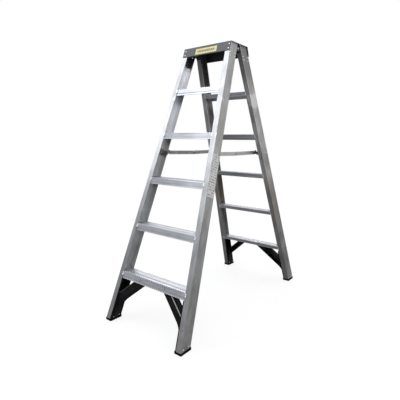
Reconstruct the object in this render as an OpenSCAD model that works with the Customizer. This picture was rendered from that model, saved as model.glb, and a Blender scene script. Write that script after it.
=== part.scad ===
// Double-sided aluminium step ladder: two tapering frames of channel stiles and level treads,
// hinged together under their top caps and held apart by a folding spreader on each side.
// X runs across the ladder, -Y is the front frame, +Z is up and the feet stand on Z = 0.

/* [Overall] */
// Height of the top caps when the ladder stands open
top_h = 1700; // [1500:10:2040]
// Width over the stiles at the floor
base_w = 604; // [540:2:720]
// Width over the stiles at the top
top_w = 365; // [330:1:430]
// Spread over the stiles at the floor, front to back
base_d = 1358; // [1180:2:1500]
// Gap between the two frames at the top
top_gap = 21; // [18:1:30]

/* [Stiles] */
// Depth of the stile channel
stile_d = 75; // [70:0.5:78]
// Width of the stile's flanges
stile_f = 34; // [30:0.5:40]
// Wall thickness of the stile
stile_t = 2.6; // [2:0.1:3]

/* [Treads] */
// Height of a tread's outer face
tread_face = 39; // [32:1:48]
// Height of a tread's inner face
tread_back = 26; // [20:1:32]
// Wall thickness of a tread
tread_t = 2.2; // [1.8:0.1:2.6]
// Number of ribs along the top of a tread
tread_ribs = 7; // [4:1:8]

/* [Top caps] */
// Height of a cap's outer plate
cap_h = 60; // [50:1:70]
// How far a cap reaches past the stiles at each end
cap_over = 8; // [4:1:14]
// Sheet thickness of a cap
cap_t = 2.5; // [2:0.1:3]
// Length of the plain plate on the front cap
label_l = 172; // [120:1:220]
// Height of the plain plate on the front cap
label_h = 41; // [30:1:46]

/* [Feet] */
// Thickness of a rubber sole
sole_h = 12; // [8:1:16]
// How far a sole stands proud of the stile all round
sole_over = 2.5; // [2:0.5:6]
// How far a brace stands proud of the stile's flanges
foot_proud = 7; // [4:0.5:10]
// Thickness of the brace's curved arm
arm_t = 40; // [28:1:46]
// Angle of the arm above the level
arm_angle = 45.5; // [40:0.5:50]
// Radius of the curve that runs from the arm into the foot
arm_r = 108; // [80:1:125]

/* [Spreaders] */
// Height of the spreader's end pivots above the middle of the gap they lie in
spread_up = 15; // [-20:1:30]
// Height of a spreader bar
bar_h = 25; // [20:1:28]
// Thickness of a spreader bar
bar_t = 3; // [2.5:0.1:3.5]
// How far the spreader's front bars lie in from the stiles' outer faces
bar_in = 54; // [52:0.5:64]
// Radius of the spreader's pivot rivets
pivot_r = 3.2; // [2.8:0.1:4]

/* [Hinge] */
// Depth of the hinge axis below the top
hinge_drop = 31; // [30:1:38]
// Radius of the hinge bolts
bolt_r = 4; // [3.5:0.1:5]
// Radius of the hinge ears
ear_r = 14; // [12:0.5:16]

/* [Hidden] */

FRONT = -1;
REAR = 1;
LEFT = -1;
RIGHT = 1;
HANDS = [LEFT, RIGHT];

$fn = 48;
steps = 6;
treads = steps - 1;
rise = top_h / steps;
hinge_z = top_h - hinge_drop;
spread_z = 3.5 * rise + spread_up;
fit = 0.2;              // gap between parts that are fastened together
run = 0.1;              // radial clearance of a turning fit
cut = 1;                // how far a cutting body reaches past a face

// Each frame leans by lean, so that the stiles' inner faces are top_gap apart at the top,
// and its stiles lie splayed by splay in the frame's own plane.
inner_d = (base_d - top_gap) / 2;
lean = acos(stile_d / norm([inner_d, top_h])) - atan(top_h / inner_d);
slope_l = top_h / cos(lean);
splay = atan((base_w - top_w) / 2 / slope_l);

// Stile section
corner_r = 2.5;
band = 11;              // width of the raised band along each edge of the web
web_step = 0.5;         // how far the web's middle lies below the bands
bead_w = 4;
bead_t = 1;
lining_t = 3;           // sheet or wall that lines the inside of a stile

// Tread section
nose_h = 6;
nose_t = 0.6;
tread_n = stile_t + bead_t + fit + nose_t;      // depth of a tread's outer face
back_n = stile_d - stile_t - bead_t - fit;      // depth of a tread's inner face
tread_d = (back_n - tread_n) / cos(lean);
rib_h = 1.2;
rib_w = 3;
lip = 3;
groove_h = 2.2;
groove_t = 0.7;
groove_drop = 26;       // how far the groove along the outer face lies below the top

// Fasteners
rivet_r = 2.2;
rivet_head_r = 4.2;
small_head_r = 3.6;
tail_k = 1.4;           // a rivet's formed tail, as wide as so many shanks
rivet_head_h = 1.8;
screw_r = 2.2;
hole_gap = 0.1;         // how much wider a rivet's hole is than its shank
head_gap = 0.02;        // gap under the heads of the rivets that hold a cap

// Foot brace
arm_n0 = 10;            // depth at which the arm starts and ends behind the front plane
arm_clear = 1;          // between the arm and the tread that it runs into
arm_n1 = back_n - tread_t - lip - arm_clear;
arm_foot = 76;          // where the arm's curve begins, along the stile
crotch_r = 10;
skin_t = 4;             // walls and ribs that are left round the brace's pockets
relief_t = 1.2;         // depth of the hollows in the arm's outer face
pocket_l = 46;
fill_h = 60;            // height of the block that fills the stile's foot
lip_n = 0.6;            // how far the lips over the flanges' edges stay below their faces
foot_rivets = [17, stile_d - 17];
foot_rivet_z = 22;
screw_z = 116;
screw_u = 11;
face_rivet_drop = 18;
middle_gap = 6;         // how far the arms stay from the ladder's middle

// Hinge
ear_t = 3.5;
ear_room = 1.35 * ear_r;        // how far below the hinge axis the inner flange is cut away
boss_t = 13;            // reach of the block that carries the ear, in from the web
bracket_drop = 96;      // how far a hinge bracket reaches down from the top
bracket_rivets_z = [top_h - 70, top_h - 92];
bracket_rivets_n = [14.8, stile_d - 15];
washer_t = 1.2;
nut_t = 6.5;

// Spreader
bar_into = 9.5;         // how far a bar's edge at its pivot lies inside the stiles' inner faces
pivot_n = stile_d - bar_into + bar_h / 2;       // depth of the end pivots behind the front plane
spread_t = 2.5;
spread_arm_n = stile_d - 17.5;
spread_h = 40;          // height of the bracket's plate
spread_rivets_n = [14.8, stile_d - 29];
tip = 28;               // how far a bar runs past its centre pivot
sag = 4;                // how far the centre pivot hangs below the end pivots
centre_head_r = 7;
bar_gap = 0.3;
ear_gap = 0.5;
lug_at = 13;            // how far beyond the centre pivot the lug starts
lug_l = 8;
lug_t = 2;
lug_clear = 0.12;       // clearance under the lug when the bars lie at rest

// ---- Places -------------------------------------------------------------------------------

// Y of a point at depth n behind the front plane and at height z, on the front frame
function depth_y(n, z) = -base_d / 2 + z * tan(lean) + n / cos(lean);
// Distance along the frame's slope of such a point
function along(n, z) = (z + n * sin(lean)) / cos(lean);
// The same, measured along a stile at a distance u in from its web
function along_stile(u, n, z) = (along(n, z) + u * sin(splay)) / cos(splay);
// Half the width over the stiles at a distance s along the frame's slope
function half_w(s) = base_w / 2 - s * tan(splay);
function arc(c, r, a0, a1, steps) =
    [for (i = [0:steps]) c + r * [cos(a0 + (a1 - a0) * i / steps), sin(a0 + (a1 - a0) * i / steps)]];

// Outer faces of the front frame's hinge ear and of the front frame's spreader bar
ear_x = half_w(along(stile_d / 2, hinge_z)) - stile_t - fit - lining_t + 0.5;
bar_x = half_w(along(pivot_n, spread_z)) - bar_in;
pivot_s = along(pivot_n, spread_z);
pivot_y = depth_y(pivot_n, spread_z);
bar_tilt = -asin(sag / norm([pivot_y, sag]));
bar_l = norm([pivot_y, sag]);
lug_gap = lug_clear + 2 * (lug_at + lug_l) * sag / bar_l;

// The rear frame is the front frame mirrored in Y, and a left piece its right piece mirrored in X.
module on_side(side) mirror([0, side > 0 ? 1 : 0, 0]) children();
module on_hand(hand) mirror([hand < 0 ? 1 : 0, 0, 0]) children();
// Frame axes: X across, Y the depth behind the front plane, Z up the slope
module on_frame() translate([0, -base_d / 2, 0]) rotate([-lean, 0, 0]) children();
// Stile axes: X inwards from the web's outer face, Y the depth, Z up the stile
module on_stile() on_frame() translate([base_w / 2, 0, 0]) rotate([0, -splay, 0])
    mirror([1, 0, 0]) children();

// Keeps what lies between two levels
module between(z0, z1) intersection() {
    children();
    translate([-base_w, -base_d, z0]) cube([2 * base_w, 2 * base_d, z1 - z0]);
}

// An outline in X and Z, between the depths y0 and y1
module upright(y0, y1) translate([0, y1, 0]) rotate([90, 0, 0]) linear_extrude(y1 - y0) children();
// An outline in Y and Z, between x0 and x1
module crosswise(x0, x1) translate([x0, 0, 0]) rotate([90, 0, 90]) linear_extrude(x1 - x0) children();
module along_x() rotate([0, 90, 0]) children();
module along_y() rotate([-90, 0, 0]) children();

// ---- Fasteners ----------------------------------------------------------------------------

// A dome of radius r and height h that stands on Z = 0
module dome(r, h) {
    ball = (r * r + h * h) / (2 * h);
    intersection() {
        translate([0, 0, h - ball]) sphere(ball);
        cylinder(h = h, r = r);
    }
}

// A set rivet: its dome stands on Z = 0, its shank runs down through the grip to a formed tail
module rivet(grip, head_r = rivet_head_r, tail = 1.4) {
    dome(head_r, rivet_head_h);
    translate([0, 0, -grip]) cylinder(h = grip, r = rivet_r);
    if (tail > 0) translate([0, 0, -grip - tail]) cylinder(h = tail, r = tail_k * rivet_r);
}

// The clear hole for a shank, centred on Z = 0
module shank_hole(l, r = rivet_r) cylinder(h = 2 * l, r = r + hole_gap, center = true);

// Rivets through the web, at depths and heights, in stile axes: X along the shank
module at_web(n, z) translate([0, n, along_stile(0, n, z)]) children();
// How deep the web's outer face lies at a depth n: only its edges are raised
function web_low(n) = n < band || n > stile_d - band ? 0 : web_step;

// ---- Stiles -------------------------------------------------------------------------------

module stile_section() difference() {
    union() {
        difference() {
            union() {
                translate([corner_r, 0]) square([stile_f - corner_r, stile_d]);
                translate([0, corner_r]) square([2 * corner_r, stile_d - 2 * corner_r]);
                for (y = [corner_r, stile_d - corner_r]) translate([corner_r, y]) circle(corner_r);
            }
            translate([stile_t, stile_t]) square([stile_f, stile_d - 2 * stile_t]);
        }
        for (y = [stile_t - 0.1, stile_d - stile_t - bead_t])
            translate([stile_f - bead_w, y]) square([bead_w, bead_t + 0.1]);
    }
    translate([-cut, band]) square([cut + web_step, stile_d - 2 * band]);
}

// Everything that passes through a stile: rivets of the treads, foot, hinge and spreader
module stile_holes() {
    for (n = foot_rivets) at_web(n, foot_rivet_z) along_x() shank_hole(6);
    for (z = bracket_rivets_z, n = bracket_rivets_n) at_web(n, z) along_x() shank_hole(6);
    for (n = spread_rivets_n) at_web(n, spread_z) along_x() shank_hole(6);
    translate([screw_u, 0, along_stile(screw_u, 0, screw_z)]) along_y() shank_hole(6, screw_r);
    for (k = [1:treads], z = clip_front_z) translate([clip_u, 0, along_stile(clip_u, 0, k * rise - z)])
        along_y() shank_hole(6);
    for (k = [1:treads], z = clip_back_z)
        translate([clip_u, stile_d, along_stile(clip_u, stile_d, k * rise - z)]) along_y() shank_hole(6);
    // The inner flange is cut away at the top, where the hinge ear passes out of the stile
    translate([stile_t, stile_d - 2 * stile_t - bead_t, along_stile(0, stile_d, hinge_z - ear_room)])
        cube([stile_f, 3 * stile_t + bead_t, slope_l]);
}

module stile(side, hand) color("silver") on_side(side) on_hand(hand)
    between(sole_h, top_h - rib_h - cap_t - fit) difference() {
        on_stile() linear_extrude(slope_l * 1.05) stile_section();
        on_stile() stile_holes();
        cap_rivet_holes();
    }

// ---- Treads -------------------------------------------------------------------------------

clip_u = stile_f - 3.5;         // distance of the tread rivets in from the web
clip_w = 10;
clip_t = 1.2;
clip_drop = 2;                  // how far a clip starts below the tread's top
clip_front_h = 20;
clip_back_h = 23;
clip_front_z = [7.5, 17];
clip_back_z = [10.5, 20.5];

// A sloping wall in Y and Z, w thick, from y at the level z0 down by h
module sloping(y, z0, w, h) polygon([[y - h * tan(lean), z0 - h], [y + w - h * tan(lean), z0 - h],
    [y + w, z0], [y, z0]]);

// The hollow section of a tread whose top lies at the level z, in Y and Z
module tread_section(z) {
    drop = tan(lean);
    top = z - rib_h;
    y0 = depth_y(tread_n, top);
    difference() {
        sloping(y0, top, tread_t, tread_face - rib_h);
        sloping(y0 - cut - (groove_drop - rib_h) * drop, z - groove_drop, cut + groove_t, groove_h);
    }
    sloping(y0, top, tread_d, tread_t);
    sloping(y0 + tread_d - tread_t, top, tread_t, tread_back - rib_h);
    translate([y0 - (tread_face - rib_h) * drop, z - tread_face]) square([lip + tread_t, tread_t]);
    translate([y0 + tread_d - (tread_back - rib_h) * drop - lip - tread_t, z - tread_back])
        square([lip + tread_t, tread_t]);
    // Nosing along the top of the outer face, and ribs along the top
    sloping(y0 - nose_t / cos(lean) + rib_h * drop, z, nose_t + tread_t, nose_h);
    translate([y0, top - 0.1]) square([nose_h, rib_h + 0.1]);
    pitch = (tread_d - nose_h - rib_w) / tread_ribs;
    for (i = [1:tread_ribs]) translate([y0 + nose_h + i * pitch, top - 0.1]) square([rib_w, rib_h + 0.1]);
}

module tread(side, k) color("gainsboro") on_side(side) {
    z = k * rise;
    half_l = half_w(along(stile_d, z)) - stile_t / cos(splay) - 2 * fit;
    difference() {
        crosswise(-half_l, half_l) tread_section(z);
        for (hand = HANDS) on_hand(hand) {
            for (h = clip_front_z) on_stile()
                translate([clip_u, tread_n, along_stile(clip_u, 0, z - h)]) along_y() shank_hole(6);
            for (h = clip_back_z) on_stile()
                translate([clip_u, stile_d - stile_t, along_stile(clip_u, stile_d, z - h)])
                    along_y() shank_hole(6);
            if (k == 1) face_rivet_place() shank_hole(6);
        }
    }
}

// A plate under each pair of tread rivets, on the outer and the inner flange. The outer one
// turns in over the flange's edge towards the tread's face.
module tread_clips(side) color("whitesmoke") on_side(side) for (hand = HANDS) on_hand(hand)
    on_stile() for (k = [1:treads]) {
        z = k * rise - clip_drop;
        u0 = clip_u + 1.3 - clip_w / 2;
        difference() {
            translate([0, 0, along_stile(clip_u, 0, z) - clip_front_h]) {
                translate([u0, -clip_t, 0]) cube([clip_w, clip_t, clip_front_h]);
                translate([stile_f + fit, -clip_t, 0])
                    cube([u0 + clip_w - stile_f - fit, clip_t + stile_t + bead_t, clip_front_h]);
            }
            for (h = clip_front_z) translate([clip_u, 0, along_stile(clip_u, 0, k * rise - h)])
                along_y() shank_hole(3);
        }
        difference() {
            translate([u0, stile_d, along_stile(clip_u, stile_d, z) - clip_back_h])
                cube([clip_w, clip_t, clip_back_h]);
            for (h = clip_back_z) translate([clip_u, stile_d, along_stile(clip_u, stile_d, k * rise - h)])
                along_y() shank_hole(3);
        }
    }

module tread_rivets(side) color("white") on_side(side) for (hand = HANDS) on_hand(hand)
    on_stile() for (k = [1:treads]) {
        for (h = clip_front_z) translate([clip_u, -clip_t, along_stile(clip_u, 0, k * rise - h)])
            rotate([90, 0, 0]) rivet(clip_t + tread_n + tread_t + fit, small_head_r);
        for (h = clip_back_z)
            translate([clip_u, stile_d + clip_t, along_stile(clip_u, stile_d, k * rise - h)])
                along_y() rivet(clip_t + stile_d - back_n + tread_t + fit, small_head_r);
    }

// ---- Top caps -----------------------------------------------------------------------------

cap_half = top_w / 2 + cap_over;
cap_back = 4;           // gap between a cap's inner edge and the middle of the ladder
cap_lip = 12;
cap_rivet_z = [top_h - 20, top_h - 48];
cap_rivet_x = cap_half - 16;
cap_ribs = 9;

module cap_section() {
    top = top_h - rib_h;
    w = cap_t / cos(lean);
    y0 = depth_y(-fit, top) - w;
    sloping(y0, top, w, cap_h - rib_h);
    translate([y0 - cap_t * tan(lean), top - cap_t]) square([-cap_back - y0 + cap_t * tan(lean), cap_t]);
    translate([-cap_back - cap_t, top - cap_lip]) square([cap_t, cap_lip]);
    pitch = (-cap_back - y0 - rib_w) / cap_ribs;
    for (i = [0:cap_ribs]) translate([y0 + i * pitch, top - 0.1]) square([rib_w, rib_h + 0.1]);
}

module cap_rivet_place(x, z) on_frame() translate([x, -fit - cap_t - head_gap, along(0, z)])
    rotate([90, 0, 0]) children();

module cap_rivet_holes() for (z = cap_rivet_z) cap_rivet_place(cap_rivet_x, z) shank_hole(12);

module top_cap(side) color("slategray") on_side(side) difference() {
    crosswise(-cap_half, cap_half) cap_section();
    for (hand = HANDS) on_hand(hand) cap_rivet_holes();
}

module cap_rivets(side) color("white") on_side(side)
    for (hand = HANDS, z = cap_rivet_z) cap_rivet_place(hand * cap_rivet_x, z)
        rivet(cap_t + stile_t + lining_t + 3 * fit);

module cap_label() color("khaki") on_frame()
    translate([-label_l / 2, -fit - cap_t - 0.5, along(0, top_h - rib_h - cap_h / 2 - 4) - label_h / 2])
        cube([label_l, 0.4, label_h]);

// ---- Labels -------------------------------------------------------------------------------

side_label_z = [780, 1016];
side_label_n = [5, stile_d - 6];

// A thin plate on the web, cut out round the rivets of the spreader's bracket
module side_label() color("lightgray") on_stile() difference() {
    translate([-0.5, side_label_n[0], along_stile(0, 0, side_label_z[0])])
        cube([0.4, side_label_n[1] - side_label_n[0], (side_label_z[1] - side_label_z[0]) / cos(lean)]);
    for (n = spread_rivets_n) at_web(n, spread_z) along_x()
        cylinder(h = 6, r = small_head_r + fit, center = true);
}

// ---- Foot braces and soles ----------------------------------------------------------------

arm_in = stile_f + foot_proud;
arm_tangent = [arm_in + arm_r * (1 - sin(arm_angle)), arm_foot + arm_r * cos(arm_angle)];
arm_dir = [cos(arm_angle), sin(arm_angle)];
arm_up = [-sin(arm_angle), cos(arm_angle)];
arm_reach = rise / sin(arm_angle);      // runs past the tread, where a level cut ends it
lining_in = stile_t + fit + lining_t;

// The rivet through the tread's face meets the middle of the arm
arm_mid = arm_tangent + arm_t / 2 * arm_up;
face_rivet_s = along(tread_n, rise - face_rivet_drop);
face_rivet_u = (arm_mid.x + (face_rivet_s / cos(splay) - arm_mid.y) / tan(arm_angle))
    / (1 - tan(splay) / tan(arm_angle));
face_rivet_x = half_w(face_rivet_s) - face_rivet_u / cos(splay);

// Outline of the foot and its arm, in from the web and up the stile
module arm_outline() {
    far = arm_tangent + arm_reach * arm_dir;
    edge = arm_tangent + arm_t * arm_up;
    crotch_s = edge.y + (lining_in - edge.x) * tan(arm_angle);
    half = (90 - arm_angle) / 2;
    reach = crotch_r / sin(half);
    c = [lining_in, crotch_s] + reach * [sin(half), cos(half)];
    polygon(concat(
        [[lining_in - 0.1, 0], [arm_in + sole_over, 0], [arm_in + sole_over, 22], [arm_in, 44]],
        arc([arm_in + arm_r, arm_foot], arm_r, 180, 90 + arm_angle, 16),
        [far, far + arm_t * arm_up],
        arc(c, crotch_r, arm_angle - 90, -180, 8),
        [[lining_in - 0.1, c.y]]));
}

// Pockets that lighten the arm, with ribs left between them
module arm_pockets() translate(arm_tangent) rotate(arm_angle) for (i = [0:2])
    translate([skin_t + i * (pocket_l + skin_t), skin_t]) square([pocket_l, arm_t - 2 * skin_t]);

// Pockets in the foot, hidden inside the stile: one between the rivets and one above the block
module foot_pockets() {
    translate([lining_in + skin_t, -cut]) square([arm_in - lining_in - 2 * skin_t, fill_h - 8]);
    translate([lining_in + skin_t, fill_h]) square([arm_in - lining_in - 2 * skin_t, fill_h]);
}

module face_rivet_place() on_frame()
    translate([face_rivet_x, tread_n, face_rivet_s]) rotate([90, 0, 0]) children();

// A moulded brace: a lining inside the stile's foot, and a curved arm that runs up inside the
// lowest tread, where a rivet through the tread's face holds it
module foot_brace(side, hand) color("#1c1d1f") on_side(side) on_hand(hand) difference() {
    union() {
        between(sole_h, rise - tread_face - 1) on_stile() {
            n0 = stile_t + fit;
            n1 = stile_d - n0;
            translate([n0, n0, 0]) cube([lining_t, n1 - n0, rise * 1.3]);
            for (n = [n0, n1 - lining_t])
                translate([n0, n, 0]) cube([stile_f - bead_w - n0 - fit, lining_t, rise * 1.3]);
            // Past the flanges' beads, and out over their edges
            for (n = [n0 + bead_t, n1 - lining_t])
                translate([n0, n, 0]) cube([arm_in - n0, lining_t - bead_t, rise * 1.3]);
            for (n = [lip_n, stile_d - lining_in])
                translate([stile_f + fit, n, 0]) cube([foot_proud - fit, lining_in - lip_n, rise * 1.3]);
            translate([lining_in - 0.1, n0 + bead_t, 0])
                cube([arm_in - lining_in + 0.1, n1 - n0 - 2 * bead_t, fill_h]);
        }
        intersection() {
            between(sole_h, rise - rib_h - tread_t - 1.5)
                on_stile() upright(arm_n0, arm_n1) arm_outline();
            translate([middle_gap, -base_d, 0]) cube([base_w, 2 * base_d, top_h]);
        }
        // Boss behind the tread's face, round the rivet
        face_rivet_place() translate([0, 0, tread_n - arm_n0 - skin_t])
            cylinder(h = arm_n0 + skin_t - tread_n - tread_t - fit, r = 9);
    }
    on_stile() {
        upright(arm_n0 + skin_t, stile_d) arm_pockets();
        upright(arm_n0 - cut, arm_n0 + relief_t) arm_pockets();
        upright(foot_rivets[0] + 7, foot_rivets[1] - 7) foot_pockets();
        for (n = foot_rivets) at_web(n, foot_rivet_z) along_x() {
            shank_hole(arm_in + cut);
            translate([0, 0, arm_in]) cylinder(h = 2 * sole_over, r = rivet_head_r);
        }
        translate([screw_u, 0, along_stile(screw_u, 0, screw_z)]) along_y() shank_hole(16, screw_r);
    }
    face_rivet_place() shank_hole(arm_n0 + 2);
}

module brace_rivets(side) color("white") on_side(side) for (hand = HANDS) on_hand(hand) {
    on_stile() for (n = foot_rivets) at_web(n, foot_rivet_z) translate([web_low(n), 0, 0])
        rotate([0, -90, 0]) rivet(arm_in - web_low(n));
    face_rivet_place() rivet(12, tail = 0);
}

module foot_screws(side) color("gray") on_side(side) for (hand = HANDS) on_hand(hand) on_stile()
    translate([screw_u, 0, along_stile(screw_u, 0, screw_z)]) rotate([90, 0, 0]) difference() {
        union() {
            dome(4.4, 2.4);
            translate([0, 0, -14]) cylinder(h = 14, r = screw_r);
        }
        for (a = [0, 90]) rotate(a) translate([-2.4, -0.5, 1.2]) cube([4.8, 1, 2]);
    }

// A block under the stile, with rounded corners and grooves across its underside
module sole(side, hand) color("#121314") on_side(side) on_hand(hand) {
    u = base_w / 2 - sole_h * (base_w - top_w) / 2 / top_h;
    x0 = u - arm_in - 2 * sole_over;
    x1 = u + sole_over;
    y0 = depth_y(0, sole_h) - sole_over;
    y1 = depth_y(stile_d, sole_h) + sole_over;
    r = 5;
    grooves = 6;
    difference() {
        linear_extrude(sole_h) {
            translate([x0, y0 + r]) square([x1 - x0, y1 - y0 - 2 * r]);
            translate([x0 + r, y0]) square([x1 - x0 - 2 * r, y1 - y0]);
            for (x = [x0 + r, x1 - r], y = [y0 + r, y1 - r]) translate([x, y]) circle(r);
        }
        for (i = [1:grooves]) translate([x0 - cut, y0 + i * (y1 - y0) / (grooves + 1) - 1.5, -cut])
            cube([x1 - x0 + 2 * cut, 3, cut + 2]);
    }
}

// ---- Hinge --------------------------------------------------------------------------------

// A hinge ear in Y and Z: a round eye on the axis, joined to a strip that runs into the stile
module ear_outline() {
    run_in = norm([depth_y(stile_d / 2, hinge_z), 0]);
    translate([0, hinge_z]) {
        circle(ear_r);
        translate([-run_in, -ear_r]) square([run_in, 2 * ear_r]);
    }
}

module hinge_bracket(side, hand) color("#232426") on_side(side) on_hand(hand) difference() {
    x1 = side == FRONT ? ear_x : ear_x - ear_t - bar_gap;
    between(0, top_h - rib_h - cap_t - 2 * fit) union() {
        crosswise(x1 - ear_t, x1) ear_outline();
        on_stile() {
            s0 = along_stile(0, 0, top_h - bracket_drop);
            n0 = stile_t + fit;
            n1 = stile_d - stile_t - fit;
            translate([n0, n0, s0]) cube([lining_t, n1 - n0, bracket_drop * 1.3]);
            for (n = [n0, n1 - lining_t]) translate([n0, n, s0])
                cube([stile_f - bead_w - n0 - fit, lining_t, n < stile_d / 2 ? bracket_drop * 1.3
                    : along_stile(0, stile_d, hinge_z - ear_room) - s0 - 1]);
            translate([n0, stile_d * 0.3, along_stile(0, stile_d / 2, hinge_z - ear_r)])
                cube([boss_t, stile_d * 0.45, 2.2 * ear_r]);
        }
    }
    translate([ear_x, 0, hinge_z]) along_x() cylinder(h = 60, r = bolt_r + run, center = true);
    on_stile() for (z = bracket_rivets_z, n = bracket_rivets_n) at_web(n, z) along_x() shank_hole(12);
    cap_rivet_holes();
}

module hinge_bolts() color("#8a8c90") for (hand = HANDS) on_hand(hand)
    translate([ear_x + bar_gap, 0, hinge_z]) along_x() {
        dome(1.9 * bolt_r, 0.9 * bolt_r);
        grip = 2 * ear_t + 3 * bar_gap + washer_t + nut_t + 1.5;
        translate([0, 0, -grip]) cylinder(h = grip, r = bolt_r);
    }

module hinge_washers() color("#a7a9ac") for (hand = HANDS) on_hand(hand)
    translate([ear_x - 2 * ear_t - 2 * bar_gap - washer_t, 0, hinge_z]) along_x() difference() {
        cylinder(h = washer_t, r = 2.1 * bolt_r);
        cylinder(h = 3 * washer_t, r = bolt_r + hole_gap, center = true);
    }

module hinge_nuts() color("#8a8c90") for (hand = HANDS) on_hand(hand)
    translate([ear_x - 2 * ear_t - 2 * bar_gap - washer_t - nut_t, 0, hinge_z]) along_x() difference() {
        cylinder(h = nut_t, r = 1.8 * bolt_r, $fn = 6);
        cylinder(h = 3 * nut_t, r = bolt_r + hole_gap, center = true);
    }

// ---- Spreaders ----------------------------------------------------------------------------

// The front bars run outside the rear bars
function bar_outer(side) = side == FRONT ? bar_x : bar_x - bar_t - bar_gap;

// A bracket inside the stile, with an arm out of it to the ear that carries the bar
module spreader_bracket(side, hand) color("#6f7175") on_side(side) on_hand(hand) difference() {
    x0 = bar_outer(side) + ear_gap;
    s = along_stile(stile_f / 2, spread_arm_n, spread_z);
    union() {
        on_stile() translate([stile_t + fit, band - 3, s - spread_h / 2])
            cube([spread_t, spread_arm_n + spread_t - band + 3, spread_h]);
        difference() {
            on_stile() translate([stile_t + fit, spread_arm_n, s - bar_h / 2 - 2])
                cube([base_w, spread_t, bar_h]);
            on_frame() translate([x0 - 2 * base_w, 0, 0]) cube([2 * base_w, top_h, top_h]);
        }
        on_frame() crosswise(x0, x0 + spread_t) {
            translate([pivot_n, pivot_s]) circle(bar_h / 2);
            translate([spread_arm_n, pivot_s - bar_h / 2]) square([pivot_n - spread_arm_n, bar_h]);
        }
    }
    translate([x0, pivot_y, spread_z]) along_x() cylinder(h = 20, r = pivot_r + hole_gap, center = true);
    on_stile() for (n = spread_rivets_n) at_web(n, spread_z) along_x() shank_hole(12);
}

// A flat bar with round ends. The front bar runs past the centre pivot and has a lug there that
// lies over the top of the rear bar.
module spreader_bar(side, hand) color("#8d8f93") on_side(side) on_hand(hand)
    translate([bar_outer(side) - bar_t, pivot_y, spread_z]) rotate([bar_tilt, 0, 0]) difference() {
        end = side == FRONT ? bar_l + tip - bar_h / 2 : bar_l;
        union() {
            crosswise(0, bar_t) {
                circle(bar_h / 2);
                translate([0, -bar_h / 2]) square([end, bar_h]);
                translate([end, 0]) circle(bar_h / 2);
            }
            if (side == FRONT) {
                translate([-bar_t - bar_gap, bar_l + lug_at, bar_h / 2 + lug_gap])
                    cube([2 * bar_t + bar_gap, lug_l, lug_t]);
                translate([0, bar_l + lug_at, 0]) cube([bar_t, lug_l, bar_h / 2 + lug_gap + 0.1]);
            }
        }
        for (y = [0, bar_l]) translate([0, y, 0]) along_x()
            cylinder(h = 20, r = pivot_r + (y == 0 ? run : hole_gap), center = true);
    }

// The rivets that carry the bars' outer ends
module spreader_pivots(side) color("whitesmoke") on_side(side) for (hand = HANDS) on_hand(hand)
    translate([bar_outer(side) + ear_gap + spread_t, pivot_y, spread_z]) along_x() {
        dome(2 * pivot_r, 2);
        grip = spread_t + 2 * ear_gap + bar_t;
        translate([0, 0, -grip]) cylinder(h = grip, r = pivot_r);
        translate([0, 0, -grip]) mirror([0, 0, 1]) dome(2 * pivot_r, 2);
    }

// One half of the rivet at a spreader's centre: each bar carries the half on its own side
module centre_rivet(side, hand) color("whitesmoke") on_hand(hand)
    translate([bar_outer(side) - (side == FRONT ? 0 : bar_t), 0, spread_z - sag])
        rotate([0, side == FRONT ? 90 : -90, 0]) {
            dome(centre_head_r, 2);
            translate([0, 0, -bar_t]) cylinder(h = bar_t, r = pivot_r);
        }

// The rivets that hold the hinge and spreader brackets in the stiles, through their webs
module bracket_rivets(side) color("whitesmoke") on_side(side) for (hand = HANDS) on_hand(hand)
    on_stile() {
        for (z = bracket_rivets_z, n = bracket_rivets_n) at_web(n, z) translate([web_low(n), 0, 0])
            rotate([0, -90, 0]) rivet(stile_t + 2 * fit + lining_t - web_low(n), small_head_r);
        for (n = spread_rivets_n) at_web(n, spread_z) translate([web_low(n), 0, 0])
            rotate([0, -90, 0]) rivet(stile_t + 2 * fit + spread_t - web_low(n), small_head_r);
    }

// ---- Nodes --------------------------------------------------------------------------------

stile(FRONT, LEFT);  // front_stile_left
stile(FRONT, RIGHT);  // front_stile_right
stile(REAR, LEFT);  // rear_stile_left
stile(REAR, RIGHT);  // rear_stile_right
tread(FRONT, 1);  // front_tread_1
tread(FRONT, 2);  // front_tread_2
tread(FRONT, 3);  // front_tread_3
tread(FRONT, 4);  // front_tread_4
tread(FRONT, 5);  // front_tread_5
tread(REAR, 1);  // rear_tread_1
tread(REAR, 2);  // rear_tread_2
tread(REAR, 3);  // rear_tread_3
tread(REAR, 4);  // rear_tread_4
tread(REAR, 5);  // rear_tread_5
top_cap(FRONT);  // front_top_cap
top_cap(REAR);  // rear_top_cap
cap_label();
side_label();
foot_brace(FRONT, LEFT);  // front_foot_brace_left
foot_brace(FRONT, RIGHT);  // front_foot_brace_right
foot_brace(REAR, LEFT);  // rear_foot_brace_left
foot_brace(REAR, RIGHT);  // rear_foot_brace_right
sole(FRONT, LEFT);  // front_sole_left
sole(FRONT, RIGHT);  // front_sole_right
sole(REAR, LEFT);  // rear_sole_left
sole(REAR, RIGHT);  // rear_sole_right
hinge_bracket(FRONT, LEFT);  // front_hinge_bracket_left
hinge_bracket(FRONT, RIGHT);  // front_hinge_bracket_right
hinge_bracket(REAR, LEFT);  // rear_hinge_bracket_left
hinge_bracket(REAR, RIGHT);  // rear_hinge_bracket_right
hinge_bolts();
hinge_washers();
hinge_nuts();
spreader_bracket(FRONT, LEFT);  // front_spreader_bracket_left
spreader_bracket(FRONT, RIGHT);  // front_spreader_bracket_right
spreader_bracket(REAR, LEFT);  // rear_spreader_bracket_left
spreader_bracket(REAR, RIGHT);  // rear_spreader_bracket_right
spreader_bar(FRONT, LEFT);  // front_spreader_bar_left
spreader_bar(FRONT, RIGHT);  // front_spreader_bar_right
spreader_bar(REAR, LEFT);  // rear_spreader_bar_left
spreader_bar(REAR, RIGHT);  // rear_spreader_bar_right
spreader_pivots(FRONT);  // front_spreader_pivots
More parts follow.
